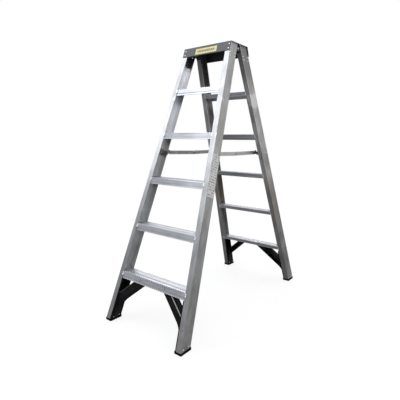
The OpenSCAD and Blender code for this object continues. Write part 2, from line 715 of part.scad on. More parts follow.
spreader_pivots(REAR);  // rear_spreader_pivots
centre_rivet(FRONT, LEFT);  // front_centre_rivet_left
centre_rivet(FRONT, RIGHT);  // front_centre_rivet_right
centre_rivet(REAR, LEFT);  // rear_centre_rivet_left
centre_rivet(REAR, RIGHT);  // rear_centre_rivet_right
tread_clips(FRONT);  // front_tread_clips
tread_clips(REAR);  // rear_tread_clips
tread_rivets(FRONT);  // front_tread_rivets
tread_rivets(REAR);  // rear_tread_rivets
cap_rivets(FRONT);  // front_cap_rivets
cap_rivets(REAR);  // rear_cap_rivets
brace_rivets(FRONT);  // front_brace_rivets
brace_rivets(REAR);  // rear_brace_rivets
foot_screws(FRONT);  // front_foot_screws
foot_screws(REAR);  // rear_foot_screws
bracket_rivets(FRONT);  // front_bracket_rivets
bracket_rivets(REAR);  // rear_bracket_rivets
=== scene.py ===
import math

import bpy
from mathutils import Matrix, Vector


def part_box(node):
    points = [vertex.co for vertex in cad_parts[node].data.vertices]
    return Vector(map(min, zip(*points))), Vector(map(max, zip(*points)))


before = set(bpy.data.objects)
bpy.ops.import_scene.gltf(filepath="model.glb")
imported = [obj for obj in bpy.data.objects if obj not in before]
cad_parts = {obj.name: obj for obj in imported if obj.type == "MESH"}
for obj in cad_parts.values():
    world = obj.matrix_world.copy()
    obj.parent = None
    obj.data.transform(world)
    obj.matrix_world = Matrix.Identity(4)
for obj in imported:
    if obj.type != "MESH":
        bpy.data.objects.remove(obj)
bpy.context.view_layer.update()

# ---- The studio -----------------------------------------------------------------------------
# A pale floor under a white sweep, with one large softbox to the front left and one overhead.
# The camera stands at the front right corner, at chest height.

EYE = Vector((1.4315, -1.9699, 1.0832))
HEADING = math.radians(38.24)
DIP = math.radians(-4.64)
ROLL = math.radians(0.62)
LENS_MM = 32.14
SENSOR_MM = 36.0
FRAME_SHIFT = -0.075

forward = Vector((-math.sin(HEADING) * math.cos(DIP), math.cos(HEADING) * math.cos(DIP), math.sin(DIP)))
level = Vector((math.cos(HEADING), math.sin(HEADING), 0.0))
plumb = level.cross(forward)
right = math.cos(ROLL) * level + math.sin(ROLL) * plumb
upward = math.cos(ROLL) * plumb - math.sin(ROLL) * level

scene = bpy.context.scene
camera = bpy.data.objects.new("camera", bpy.data.cameras.new("camera"))
camera.matrix_world = Matrix.Translation(EYE) @ Matrix((right, upward, -forward)).transposed().to_4x4()
camera.data.lens = LENS_MM
camera.data.sensor_width = SENSOR_MM
camera.data.shift_y = FRAME_SHIFT
scene.collection.objects.link(camera)
scene.camera = camera
scene.view_settings.view_transform = "Standard"


class Wire:
    """A value, colour or vector on its way through the nodes of one material."""

    def __init__(self, tree, socket=None):
        self.tree = tree
        self.socket = socket

    def add(self, kind, settings=(), inputs=(), output=0):
        """Adds a node of this kind. The settings come first, then its sockets' values or wires."""
        node = self.tree.nodes.new("ShaderNode" + kind)
        for name, value in dict(settings).items():
            setattr(node, name, value)
        for name, value in dict(inputs).items():
            socket = node.inputs[name]
            if isinstance(value, Wire):
                self.tree.links.new(value.socket, socket)
            elif socket.type == "RGBA":
                socket.default_value = (*value, 1.0)
            else:
                socket.default_value = value
        return Wire(self.tree, node.outputs[output]) if node.outputs else None

    def maths(self, operation, *values):
        return self.add("Math", {"operation": operation}, enumerate(values))

    def __add__(self, other):
        return self.maths("ADD", self, other)

    __radd__ = __add__

    def __mul__(self, other):
        return self.maths("MULTIPLY", self, other)

    __rmul__ = __mul__

    def __sub__(self, other):
        return self.maths("SUBTRACT", self, other)

    def __rsub__(self, other):
        return self.maths("SUBTRACT", other, self)

    def __truediv__(self, other):
        return self.maths("DIVIDE", self, other)

    def __abs__(self):
        return self.maths("ABSOLUTE", self)

    def __mod__(self, other):
        return self.maths("FLOORED_MODULO", self, other)

    def least(self, other):
        return self.maths("MINIMUM", self, other)

    def most(self, other):
        return self.maths("MAXIMUM", self, other)

    def along(self, direction):
        """How far a place lies along a direction."""
        return self.add("VectorMath", {"operation": "DOT_PRODUCT"}, {0: self, 1: tuple(direction)}, "Value")

    def step(self, low, high):
        """0 up to low and 1 from high on, with a smooth rise between."""
        return self.add("MapRange", {"interpolation_type": "SMOOTHSTEP"},
                        {"Value": self, "From Min": low, "From Max": high})

    def between(self, low, full, fading, gone):
        """0 up to low, 1 from full to fading, and 0 again from gone on."""
        return self.step(low, full) * (1.0 - self.step(fading, gone))

    def near(self, centre, full, gone):
        """1 as far as full to either side of the centre, and 0 from gone on."""
        return 1.0 - abs(self - centre).step(full, gone)

    def blend(self, none, full):
        """One colour where this value is 0, and another where it is 1."""
        return self.add("Mix", {"data_type": "RGBA"}, {0: self, 6: none, 7: full}, 2)


def empty_tree(owner):
    owner.use_nodes = True
    owner.node_tree.nodes.clear()
    return Wire(owner.node_tree)


def seen_by_camera(start):
    """1 for what the camera sees directly or through glass, and 0 for what lights or is mirrored."""
    directly = start.add("LightPath", output="Is Camera Ray")
    through_glass = start.add("LightPath", output="Is Transmission Ray")
    return (directly + through_glass).step(0.0, 1.0)


FLOOR_HALF = 15.0
FLOOR_PAINT = (0.28, 0.28, 0.285)
FLOOR_GLOW = 0.78
WHITE = (1.0, 1.0, 1.0)

floor_paint = bpy.data.materials.new("floor_paint")
start = empty_tree(floor_paint)
paint = start.add("BsdfDiffuse", (), {"Color": FLOOR_PAINT})
glow = start.add("Emission", (), {"Color": WHITE, "Strength": FLOOR_GLOW * seen_by_camera(start)})
start.add("OutputMaterial", (), {"Surface": start.add("AddShader", (), {0: paint, 1: glow})})

floor_mesh = bpy.data.meshes.new("floor")
floor_corners = [(-1, -1), (1, -1), (1, 1), (-1, 1)]
floor_mesh.from_pydata([(x * FLOOR_HALF, y * FLOOR_HALF, 0.0) for x, y in floor_corners], [], [(0, 1, 2, 3)])
floor_mesh.materials.append(floor_paint)
floor = bpy.data.objects.new("floor", floor_mesh)
scene.collection.objects.link(floor)

# The room as the metal mirrors it: bright overhead, to the far left, to the right and towards
# the near right, and dim elsewhere. The camera itself sees plain white.
UP = (0.0, 0.0, 1.0)
KEY_WAY = (-0.66, -0.75, 0.0)
SWEEP_WAY = (-0.72, 0.69, 0.0)
RIGHT_WAY = (0.95, 0.30, 0.0)
DIM = 0.42
OVERHEAD = 1.7
SWEEP = 0.92
NEAR_SIDE = 0.85
WARM_WHITE = (1.0, 0.985, 0.965)
COOL_WHITE = (0.935, 0.96, 1.0)

room = bpy.data.worlds.new("room")
scene.world = room
start = empty_tree(room)
aim = start.add("TexCoord", output="Generated")
up = aim.along(UP)
to_key = aim.along(KEY_WAY)
to_sweep = aim.along(SWEEP_WAY)
seen = seen_by_camera(start)
mirrored = start.add("LightPath", output="Is Glossy Ray")
sweep = to_sweep.step(0.25, 0.9) * up.step(-0.1, 0.25)
near_side = ((-1.0 * to_sweep).step(0.1, 0.9) + aim.along(RIGHT_WAY).step(0.74, 0.90)).least(1.0)
near_side = near_side * up.step(-0.14, 0.05)
room_light = DIM + OVERHEAD * up.step(0.36, 0.65) + SWEEP * sweep + NEAR_SIDE * near_side
diffuse_light = 0.60 + 0.26 * up.step(-0.3, 0.9)
unseen = mirrored * room_light + (1.0 - mirrored) * diffuse_light
strength = seen + (1.0 - seen) * unseen
colour = seen.blend(to_key.step(-0.7, 0.7).blend(WARM_WHITE, COOL_WHITE), WHITE)
background = start.add("Background", (), {"Color": colour, "Strength": strength})
start.add("OutputWorld", (), {"Surface": background})


def softbox(name, place, aim_at, side, watts, colour):
    """A square softbox that faces a point."""
    lamp = bpy.data.lights.new(name, "AREA")
    lamp.shape = "SQUARE"
    lamp.size = side
    lamp.energy = watts
    lamp.color = colour
    box = bpy.data.objects.new(name, lamp)
    box.location = place
    box.rotation_euler = (Vector(aim_at) - Vector(place)).to_track_quat("-Z", "Y").to_euler()
    scene.collection.objects.link(box)


softbox("key_softbox", (-2.3, -2.4, 4.0), (0.0, -0.2, 0.9), side=2.6, watts=26.0, colour=(0.95, 0.975, 1.0))
softbox("top_softbox", (0.2, 0.2, 4.6), (0.0, 0.0, 0.8), side=2.6, watts=14.0, colour=WHITE)

# ---- Stiles ---------------------------------------------------------------------------------
# Four extruded aluminium channels, mill finish, flanges inwards. The die leaves fine lines
# along their whole length, and handling has scuffed them and soiled the feet.

LADDER_H = 1.7
FRAME_LEAN = math.radians(19.1134)
BASE_HALF_D = 0.679
BASE_HALF_W = 0.302
TOP_HALF_W = 0.1825
STILE_SPLAY = (BASE_HALF_W - TOP_HALF_W) * math.cos(FRAME_LEAN) / LADDER_H
SIDES = {"front": -1, "rear": 1}
HANDS = {"left": -1, "right": 1}
ACROSS = (1.0, 0.0, 0.0)
BACK = (0.0, 1.0, 0.0)

TARNISH = (0.36, 0.325, 0.29)
RUBBED_BRIGHT = (0.90, 0.91, 0.93)
SCRATCH = (0.86, 0.87, 0.89)
KNOCK = (0.24, 0.24, 0.25)
SOIL = (0.17, 0.155, 0.135)


def surface(name):
    """A new material, the start of its nodes and the place on the ladder, in metres."""
    material = bpy.data.materials.new(name)
    start = empty_tree(material)
    return material, start, start.add("TexCoord", output="Object")


def noise(place, scale, detail=2.0, roughness=0.5):
    settings = {"Vector": place, "Scale": scale, "Detail": detail, "Roughness": roughness}
    return place.add("TexNoise", (), settings, "Fac")


def drawn_out(place, run, first, second, shorter):
    """The place squeezed along run, so that a pattern laid on it comes out long and thin."""
    squeezed = {0: place.along(run) * shorter, 1: place.along(first), 2: place.along(second)}
    return place.add("CombineXYZ", (), squeezed)


def lacquer(start, relief, strength, depth=0.0001, **sockets):
    """Closes a material: its relief, and its shader's sockets by name, with _ for a space."""
    named = {name.replace("_", " "): value for name, value in sockets.items()}
    named["Normal"] = start.add("Bump", (), {"Height": relief, "Distance": depth, "Strength": strength})
    start.add("OutputMaterial", (), {"Surface": start.add("BsdfPrincipled", (), named)})


def each_frame(*pieces):
    """The names of pieces that both frames have."""
    return [f"{side}_{piece}" for side in SIDES for piece in pieces]


def each_stile(piece):
    """The names of the four pieces of a kind that has one to each stile."""
    return each_frame(*(f"{piece}_{hand}" for hand in HANDS))


def dress(nodes, material, edge=0.0004):
    """Gives CAD nodes their material, and breaks their sharp edges as tumbling or wear does."""
    for node in nodes:
        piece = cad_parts[node]
        piece.data.materials.clear()
        piece.data.materials.append(material)
        weld = piece.modifiers.new("weld", "WELD")
        weld.merge_threshold = 0.00001
        if edge:
            bevel = piece.modifiers.new("edge", "BEVEL")
            bevel.width = edge
            bevel.segments = 2
            bevel.limit_method = "ANGLE"
            bevel.angle_limit = math.radians(40)
            bevel.harden_normals = True


def mill_finish(place, run, pale, dull, soil_height):
    """Extruded aluminium with its die lines along run: its colour, soil, relief and roughness."""
    run = Vector(run).normalized()
    first = run.cross(Vector(BACK if abs(run.y) < 0.7 else ACROSS)).normalized()
    second = run.cross(first)

    def streaks(shorter, scale, detail=2.0, roughness=0.5):
        return noise(drawn_out(place, run, first, second, shorter), scale, detail, roughness)

    patches = noise(place, scale=9.0, detail=4.0, roughness=0.6)
    long_patches = streaks(0.12, scale=60.0, detail=3.0, roughness=0.6)
    die_lines = streaks(0.006, scale=420.0, roughness=0.7)
    scratches = streaks(0.05, scale=900.0, detail=1.0).step(0.66, 0.74)
    knocks = noise(place, scale=75.0).step(0.66, 0.78)
    rubbed = streaks(0.5, scale=21.0, roughness=0.4).step(0.69, 0.75)
    cloudy = streaks(0.6, scale=14.0, detail=3.0, roughness=0.55).step(0.35, 0.65)
    stained = streaks(0.25, scale=8.0).step(0.52, 0.72)
    soil = (1.0 - place.along(UP).step(0.0, soil_height)) * patches.step(0.36, 0.62)
    tone = 0.40 * long_patches + 0.30 * die_lines + 0.20 * patches + 0.15 * cloudy - 0.02
    colour = tone.step(0.30, 0.72).blend(dull, pale)
    colour = (0.25 * stained).blend(colour, TARNISH)
    colour = (0.60 * rubbed).blend(colour, RUBBED_BRIGHT)
    colour = (0.45 * scratches).blend(colour, SCRATCH)
    colour = (0.5 * knocks).blend(colour, KNOCK)
    colour = (0.6 * soil).blend(colour, SOIL)
    relief = die_lines * 0.5 + scratches * 0.3 - knocks * 0.6
    roughness = 0.33 + 0.14 * long_patches + 0.10 * patches + 0.20 * soil - 0.12 * rubbed
    return colour, soil, relief, roughness


def in_frame(place):
    """How far a place lies behind its frame's front plane, up its slope and in from its stile's web."""
    height = place.along(UP)
    leant_in = math.tan(FRAME_LEAN) * height
    behind = (BASE_HALF_D - abs(place.along(BACK)) - leant_in) * math.cos(FRAME_LEAN)
    up_slope = (height + behind * math.sin(FRAME_LEAN)) / math.cos(FRAME_LEAN)
    return behind, up_slope, BASE_HALF_W - abs(place.along(ACROSS)) - up_slope * STILE_SPLAY


FRONT_PALE = (0.60, 0.605, 0.62)
FRONT_DULL = (0.39, 0.395, 0.40)
REAR_PALE = (0.60, 0.60, 0.605)
# The rear stiles' dull tone is darker than the front's: painted shade on the rear frame
REAR_DULL_PAINTED_SHADE = (0.33, 0.33, 0.325)
STILE_METAL = {"front": (FRONT_PALE, FRONT_DULL), "rear": (REAR_PALE, REAR_DULL_PAINTED_SHADE)}
STILE_SOIL_H = 0.55
# Depths at which a place is past the wall's thickness, at the inner flange, or on the outer face
PAST_WALL = (0.0018, 0.0024)
INNER_FLANGE = (0.0732, 0.0740)
OUTER_FACE = (0.0004, 0.0016)
# Heights between which each kind of wear, and of painted light and shade, comes in or goes
CHANNEL_LIGHT_FROM = (0.95, 1.25)
CHANNEL_TOP_LIGHT_FROM = (1.44, 1.54)
FACE_SHADE_UP_TO = (0.3, 0.85)
FACE_HIGHLIGHT_BAND = (0.8, 0.95, 1.25, 1.4)
TOP_SHADE_FROM = (1.15, 1.35)
REAR_TOP_SHADE_FROM = (1.4, 1.55)
REAR_FOOT_SHADE_UP_TO = (0.36, 0.50)
BROWNED_BAND = (0.38, 0.55, 0.7, 0.88)
PALE_PATCHES_FROM = (0.8, 1.05)
PALE_PATCHES_UP_TO = (1.42, 1.5)
CHANNEL_PAINTED_LIGHT = (0.84, 0.86, 0.90)
CHANNEL_TOP_PAINTED_LIGHT = (0.95, 0.96, 0.98)
LOW_FACE_PAINTED_SHADE = (0.20, 0.20, 0.21)
FACE_PAINTED_HIGHLIGHT = (0.92, 0.92, 0.94)
TOP_PAINTED_SHADE = (0.20, 0.20, 0.205)
REAR_PAINTED_SHADE = (0.20, 0.20, 0.20)
BROWNED = (0.34, 0.29, 0.235)
PALE_SCUFF_AND_HIGHLIGHT = (0.82, 0.82, 0.83)

for side, s in SIDES.items():
    for hand, h in HANDS.items():
        run = (h * (TOP_HALF_W - BASE_HALF_W), -s * LADDER_H * math.tan(FRAME_LEAN), LADDER_H)
        material, start, place = surface(f"{side}_stile_{hand}_mill_finish")
        colour, soil, relief, roughness = mill_finish(place, run, *STILE_METAL[side], STILE_SOIL_H)
        height = place.along(UP)
        if side == "front":
            # Painted light high up inside the channel, and painted shade low down on its face
            behind, _, in_from_web = in_frame(place)
            past_web = in_from_web.step(*PAST_WALL)
            inside = past_web * behind.between(*PAST_WALL, *INNER_FLANGE)
            face = past_web * (1.0 - behind.step(*OUTER_FACE))
            low_face_painted_shade = face * (1.0 - height.step(*FACE_SHADE_UP_TO))
            mid_face_painted_light = face * height.between(*FACE_HIGHLIGHT_BAND)
            top_painted_shade = (1.0 - inside) * height.step(*TOP_SHADE_FROM)
            # Painted light inside the channel, strongest near the top
            colour = (0.60 * inside * height.step(*CHANNEL_LIGHT_FROM)).blend(colour, CHANNEL_PAINTED_LIGHT)
            colour = (0.55 * inside * height.step(*CHANNEL_TOP_LIGHT_FROM)).blend(colour, CHANNEL_TOP_PAINTED_LIGHT)
            # Painted shade low down on the flange's face, stronger on the left stile
            colour = ((0.40 - 0.08 * h) * low_face_painted_shade).blend(colour, LOW_FACE_PAINTED_SHADE)
            # Painted highlight across the flange's face at mid height, stronger on the left stile
            colour = ((0.25 - 0.15 * h) * mid_face_painted_light).blend(colour, FACE_PAINTED_HIGHLIGHT)
            # Painted shade over all but the inside of the channel near the top
            colour = (0.20 * top_painted_shade).blend(colour, TOP_PAINTED_SHADE)
        else:
            # Painted shade darkens the rear frame most at its top and foot
            rear_painted_shade = 1.7 * height.step(*REAR_TOP_SHADE_FROM) + 0.75 * (1.0 - height.step(*REAR_FOOT_SHADE_UP_TO))
            browned = height.between(*BROWNED_BAND)
            # Pale patches, strongest from mid height up: partly scuffs and partly painted highlights
            rubbed = noise(place, scale=7.5, roughness=0.4).step(0.53, 0.62)
            rubbed = rubbed * (0.25 + 0.75 * height.step(*PALE_PATCHES_FROM)) * (1.0 - height.step(*PALE_PATCHES_UP_TO))
            colour = (0.45 * browned).blend(colour, BROWNED)
            colour = (0.50 * rear_painted_shade).blend(colour, REAR_PAINTED_SHADE)
            colour = (0.55 * rubbed).blend(colour, PALE_SCUFF_AND_HIGHLIGHT)
        lacquer(start, relief, strength=0.5,
                Base_Color=colour, Metallic=1.0 - 0.35 * soil, Roughness=roughness)
        dress([f"{side}_stile_{hand}"], material)

# ---- Treads ---------------------------------------------------------------------------------
# Five treads on each frame, of one extrusion: a face with a nose along its top and a groove
# low down, a shorter inner face, and a ribbed top whose ribs are rolled into teeth.

TREADS = 5
TREAD_RISE = LADDER_H / (TREADS + 1)
TREAD_FACE = 0.039
TREAD_BACK = 0.026
TREAD_SOIL_H = 0.10
BEAD_H = 0.001
GROOVE_DROP = 0.027
RIB_PITCH = 0.0078
TOOTH_PITCH = 0.0085
EDGE_TOOTH_H = 0.006
DARK_BAND_DEPTHS = (0.025, 0.062)
MID_TREAD_SHADE_BAND = (0.72, 0.84, 1.15, 1.25)
TREAD_PALE = (0.60, 0.61, 0.65)
TREAD_DULL = (0.42, 0.43, 0.46)
CREST_WEAR_AND_HIGHLIGHT = (0.92, 0.93, 0.95)
TOOTH_GAP_PAINTED_SHADE = (0.30, 0.30, 0.31)
DARK_BAND_GREY = (0.22, 0.22, 0.225)
NOSE_PAINTED_HIGHLIGHT = (0.94, 0.95, 0.97)
NOSE_PAINTED_SHADE = (0.24, 0.245, 0.26)
GROOVE_PAINTED_SHADE = (0.20, 0.20, 0.21)
EDGE_TOOTH_HIGHLIGHT = (0.97, 0.975, 0.99)
MID_TREAD_PAINTED_SHADE = (0.20, 0.205, 0.22)


def ripple(value, pitch):
    """From 1 down to 0 and back over each pitch."""
    return abs((value / pitch) % 1.0 - 0.5) * 2.0


tread_metal, start, place = surface("tread_mill_finish")
colour, soil, relief, roughness = mill_finish(place, ACROSS, TREAD_PALE, TREAD_DULL, TREAD_SOIL_H)
length = place.along(ACROSS)
height = place.along(UP)
depth = BASE_HALF_D - math.tan(FRAME_LEAN) * height - abs(place.along(BACK))
below_top = (BEAD_H - height) % TREAD_RISE - BEAD_H
on_top = start.add("TexCoord", output="Normal").along(UP).step(0.55, 0.9)
off_top = 1.0 - on_top
# Teeth across the ribs, painted shade between the teeth, darker bands at two depths, and bright crests that
# are partly shoe wear and partly painted highlight
teeth = ripple(length, TOOTH_PITCH).step(0.15, 0.65)
crest = ripple(depth, RIB_PITCH).step(0.25, 0.75)
dark_bands = depth.near(DARK_BAND_DEPTHS[0], 0.0016, 0.008) + depth.near(DARK_BAND_DEPTHS[1], 0.0016, 0.008)
colour = (on_top * crest * 0.6).blend(colour, CREST_WEAR_AND_HIGHLIGHT)
# Painted shade between the teeth
colour = (on_top * (1.0 - teeth) * 0.35).blend(colour, TOOTH_GAP_PAINTED_SHADE)
colour = (on_top * dark_bands * 0.55).blend(colour, DARK_BAND_GREY)
# The face has a painted highlight along its nose, broken by painted shade between the teeth, painted shade
# in its groove, and painted highlights on the teeth along its lower edge
nose = off_top * (1.0 - below_top.step(0.0021, 0.0070))
groove = off_top * below_top.near(GROOVE_DROP, 0.0013, 0.00286)
edge_teeth = ripple(length, 2.0 * TOOTH_PITCH).step(0.35, 0.6)
lower_edge = TREAD_FACE - (TREAD_FACE - TREAD_BACK) * depth.step(0.02, 0.05)
toothed = off_top * (below_top - lower_edge + EDGE_TOOTH_H).step(0.0, 0.002) * edge_teeth
colour = (nose * (0.1 + 0.7 * edge_teeth)).blend(colour, NOSE_PAINTED_HIGHLIGHT)
colour = (nose * (1.0 - edge_teeth) * 0.40).blend(colour, NOSE_PAINTED_SHADE)
colour = (groove * 0.3).blend(colour, GROOVE_PAINTED_SHADE)
colour = (toothed * 0.9).blend(colour, EDGE_TOOTH_HIGHLIGHT)
# Painted shade dulls the faces of the middle treads most, towards their left ends
mid_face_painted_light = off_top * height.between(*MID_TREAD_SHADE_BAND) * (1.0 - length.step(-0.02, 0.15))
colour = (0.36 * mid_face_painted_light).blend(colour, MID_TREAD_PAINTED_SHADE)
relief = relief + 4.0 * on_top * teeth * crest - 2.0 * groove
lacquer(start, relief, strength=0.5, Base_Color=colour, Metallic=1.0 - 0.35 * soil, Roughness=roughness)
dress(each_frame(*(f"tread_{k}" for k in range(1, TREADS + 1))), tread_metal)

# ---- Clips and rivets -----------------------------------------------------------------------
# Bright aluminium rivets with domed heads, and the bright pressed clips that close each tread's
# ends against the flanges. Their heads are rubbed, and grey oxide stays round their rims.

RIVET_EDGE = 0.0002
DARK_ABOVE_FROM = (0.12, 0.2)
HEAD_OXIDE = (0.66, 0.67, 0.68)
HEAD_BRIGHT = (0.88, 0.89, 0.91)
FOOT_OXIDE_PAINTED_LIGHT = (0.74, 0.75, 0.76)
FOOT_BRIGHT_PAINTED_LIGHT = (0.95, 0.96, 0.97)
DARK_HEAD = (0.07, 0.07, 0.075)

bright_metal, start, place = surface("bright_rivet_metal")
rubbed = noise(place, scale=160.0, detail=3.0).step(0.35, 0.65)
colour = rubbed.blend(HEAD_OXIDE, HEAD_BRIGHT)
lacquer(start, noise(place, scale=900.0), strength=0.3,
        Base_Color=colour, Metallic=1.0, Roughness=0.24 + 0.16 * rubbed)
dress(each_frame("tread_clips", "tread_rivets", "cap_rivets", "bracket_rivets"), bright_metal, RIVET_EDGE)

# The brace rivets carry painted light at the foot, and are dark on the lowest tread's face
brace_rivet_metal, start, place = surface("brace_rivet_metal")
rubbed = noise(place, scale=160.0, detail=3.0).step(0.35, 0.65)
above_foot = place.along(UP).step(*DARK_ABOVE_FROM)
colour = rubbed.blend(FOOT_OXIDE_PAINTED_LIGHT, FOOT_BRIGHT_PAINTED_LIGHT)
colour = (0.86 * above_foot).blend(colour, DARK_HEAD)
lacquer(start, noise(place, scale=900.0), strength=0.3,
        Base_Color=colour, Metallic=0.35 + 0.4 * above_foot, Roughness=0.30 + 0.16 * rubbed)
dress(each_frame("brace_rivets"), brace_rivet_metal, RIVET_EDGE)

# ---- Top caps -------------------------------------------------------------------------------
# A folded sheet over the top of each frame, with a blue-grey satin coating: a plate down its
# face, a ribbed top and a short lip behind. Riveted to the stiles through the face.

COAT_DARK = (0.050, 0.050, 0.056)
COAT_LIGHT = (0.080, 0.080, 0.089)
CAP_INSIDE_PAINTED_SHADE = (0.012, 0.012, 0.013)
SCUFFED_COAT = (0.30, 0.30, 0.31)
BARE_SHEET_AND_PAINTED_LIGHT = (0.66, 0.665, 0.68)

cap_coat, start, place = surface("cap_coating")
patches = noise(place, scale=14.0, detail=4.0, roughness=0.6)
rolled = noise(drawn_out(place, ACROSS, BACK, UP, shorter=0.01), scale=500.0)
peel = noise(place, scale=700.0)
scuffs = noise(drawn_out(place, ACROSS, BACK, UP, shorter=0.2), scale=160.0).step(0.62, 0.74)
colour = patches.step(0.3, 0.7).blend(COAT_DARK, COAT_LIGHT)
colour = (0.30 * scuffs + 0.10 * rolled).blend(colour, SCUFFED_COAT)
# Painted shade blackens the inside of the fold, the sheet's cut ends are bare, and painted light gives the
# underside past the stiles the same bare colour
facing = start.add("TexCoord", output="Normal")
side_sign = 2.0 * place.along(BACK).step(-0.001, 0.001) - 1.0
inside = (-1.0 * side_sign * facing.along(BACK)).step(0.3, 0.7)
below = (-1.0 * facing.along(UP)).step(0.3, 0.7)
overhang_painted_light = below * abs(place.along(ACROSS)).step(TOP_HALF_W, TOP_HALF_W + 0.001)
cut_end_and_painted_light = abs(facing.along(ACROSS)).step(0.6, 0.9).most(overhang_painted_light)
colour = (0.85 * inside).blend(colour, CAP_INSIDE_PAINTED_SHADE)
colour = (0.9 * cut_end_and_painted_light).blend(colour, BARE_SHEET_AND_PAINTED_LIGHT)
lacquer(start, peel + 0.6 * rolled, strength=0.35,
        Base_Color=colour, Metallic=0.25 + 0.75 * cut_end_and_painted_light, Roughness=0.38 + 0.12 * patches)
dress(each_frame("top_cap"), cap_coat, edge=0.0006)

# ---- Plate on the front cap -----------------------------------------------------------------
# A pale yellow plate glued to the face of the cap, with a darker rim and a row of slanted
# ticks across its middle.

PLATE_HALF_L = 0.086
PLATE_HALF_H = 0.0205
RIM_W = (0.0016, 0.0024)
ROW_HALF_L = (0.0679, 0.0700)
ROW_HALF_H = (0.00792, 0.0088)
TICK_PITCH = 0.0140
TICK_SLANT = 0.3
WORN_YELLOW = (0.93, 0.85, 0.36)
PALE_YELLOW = (0.98, 0.93, 0.52)
OCHRE = (0.72, 0.52, 0.04)
TICK_INK = (0.045, 0.035, 0.015)

slope = Vector((0.0, math.sin(FRAME_LEAN), math.cos(FRAME_LEAN)))
low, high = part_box("cap_label")
centre = (Vector(low) + Vector(high)) / 2

plate_print, start, place = surface("yellow_plate_print")
u = place.along(ACROSS)
v = place.along(slope) - centre.dot(slope)
rim = 1.0 - (PLATE_HALF_L - abs(u)).least(PLATE_HALF_H - abs(v)).step(*RIM_W)
row = v.near(0.0, *ROW_HALF_H) * u.near(0.0, *ROW_HALF_L)
ticks = row * ripple(u - TICK_SLANT * v, TICK_PITCH).step(0.30, 0.42)
worn = noise(place, scale=60.0, detail=4.0, roughness=0.6)
colour = worn.step(0.3, 0.7).blend(WORN_YELLOW, PALE_YELLOW)
colour = (0.90 * rim).blend(colour, OCHRE)
colour = (0.92 * ticks).blend(colour, TICK_INK)
lacquer(start, worn + 0.5 * rim, strength=0.3, Base_Color=colour, Roughness=0.36 + 0.16 * worn)
dress(["cap_label"], plate_print, edge=0.0)

# ---- Strip on the front right stile ---------------------------------------------------------
# A long strip stuck to the web, whitish, printed with a plain pattern of grey dashes and worn
# at its edges.

LINE_PITCH = 0.0150
PRINT_HALF_W = (0.02666, 0.02852)
STRIP_GREY = (0.86, 0.86, 0.865)
STRIP_WHITE = (0.97, 0.97, 0.97)
DASH_INK = (0.08, 0.08, 0.085)
WORN_THROUGH = (0.62, 0.62, 0.63)

low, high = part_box("side_label")
centre = (Vector(low) + Vector(high)) / 2
strip_run = Vector((TOP_HALF_W - BASE_HALF_W, LADDER_H * math.tan(FRAME_LEAN), LADDER_H)).normalized()
strip_across = Vector((0.0, math.cos(FRAME_LEAN), -math.sin(FRAME_LEAN)))

strip_print, start, place = surface("side_strip_print")
u = place.along(strip_across) - centre.dot(strip_across)
v = place.along(strip_run) - centre.dot(strip_run)
line = (v / LINE_PITCH) % 1.0
line_start = v - line * LINE_PITCH
broken = noise(start.add("CombineXYZ", (), {0: u, 1: line_start}), scale=120.0, detail=1.0).step(0.50, 0.54)
dashes = line.near(0.5, 0.16, 0.22) * broken * u.near(0.0, *PRINT_HALF_W)
worn = noise(place, scale=45.0, detail=4.0, roughness=0.65)
colour = worn.step(0.35, 0.7).blend(STRIP_GREY, STRIP_WHITE)
colour = (0.90 * dashes).blend(colour, DASH_INK)
colour = worn.step(0.62, 0.68).blend(colour, WORN_THROUGH)
lacquer(start, worn, strength=0.3, Base_Color=colour, Roughness=0.42 + 0.2 * worn)
dress(["side_label"], strip_print, edge=0.0)

# ---- Foot braces ----------------------------------------------------------------------------
# Black glass-filled nylon mouldings: a liner in the foot of each stile and a curved arm up to
# the lowest tread, pocketed on its back. Fixed with rivets and a screw.

ARM_RISE = math.radians(43.4)
ARM_TOP_IN = 0.0230
ARM_TOP_UP = 0.1570
ARM_BEHIND = 0.010
CORNER_W = (0.0026, 0.0050)
DUST_H = 0.14
NYLON_BLACK = (0.0085, 0.0085, 0.009)
NYLON_GREYED = (0.0165, 0.0165, 0.017)
NYLON_SCUFF = (0.055, 0.055, 0.056)
NYLON_CORNER_HIGHLIGHT = (0.62, 0.62, 0.63)
FLOOR_DUST = (0.15, 0.14, 0.125)

nylon, start, place = surface("black_moulded_nylon")
grain = noise(place, scale=1100.0, detail=3.0, roughness=0.6)
flow = noise(place, scale=26.0, detail=4.0, roughness=0.6)
scuffs = noise(place, scale=240.0, detail=3.0, roughness=0.6).step(0.63, 0.75)
dust = noise(place, scale=34.0, detail=4.0, roughness=0.65).step(0.40, 0.70)
dust = (1.0 - place.along(UP).step(0.0, DUST_H)) * dust
colour = flow.step(0.3, 0.7).blend(NYLON_BLACK, NYLON_GREYED)
colour = (0.35 * scuffs).blend(colour, NYLON_SCUFF)
colour = (0.30 * dust).blend(colour, FLOOR_DUST)
# A painted highlight runs pale along the arm's upper front corner, most on the right
behind, up_slope, in_from_web = in_frame(place)
over_arm = (up_slope - ARM_TOP_UP) * math.cos(ARM_RISE) - (in_from_web - ARM_TOP_IN) * math.sin(ARM_RISE)
corner_painted_highlight = 1.0 - (abs(over_arm) + abs(behind - ARM_BEHIND)).step(*CORNER_W)
to_right = place.along(ACROSS).step(-0.01, 0.01)
colour = ((0.15 + 0.75 * to_right) * corner_painted_highlight).blend(colour, NYLON_CORNER_HIGHLIGHT)
lacquer(start, grain + 0.5 * flow, strength=0.45, depth=0.0002,
        Base_Color=colour, Roughness=0.40 + 0.16 * flow + 0.2 * dust, Specular_IOR_Level=0.05)
dress(each_stile("foot_brace"), nylon, edge=0.0008)

# ---- Soles ----------------------------------------------------------------------------------
# A moulded rubber block under each foot, a little proud of the stile all round, with rounded
# corners and grooves across its underside.

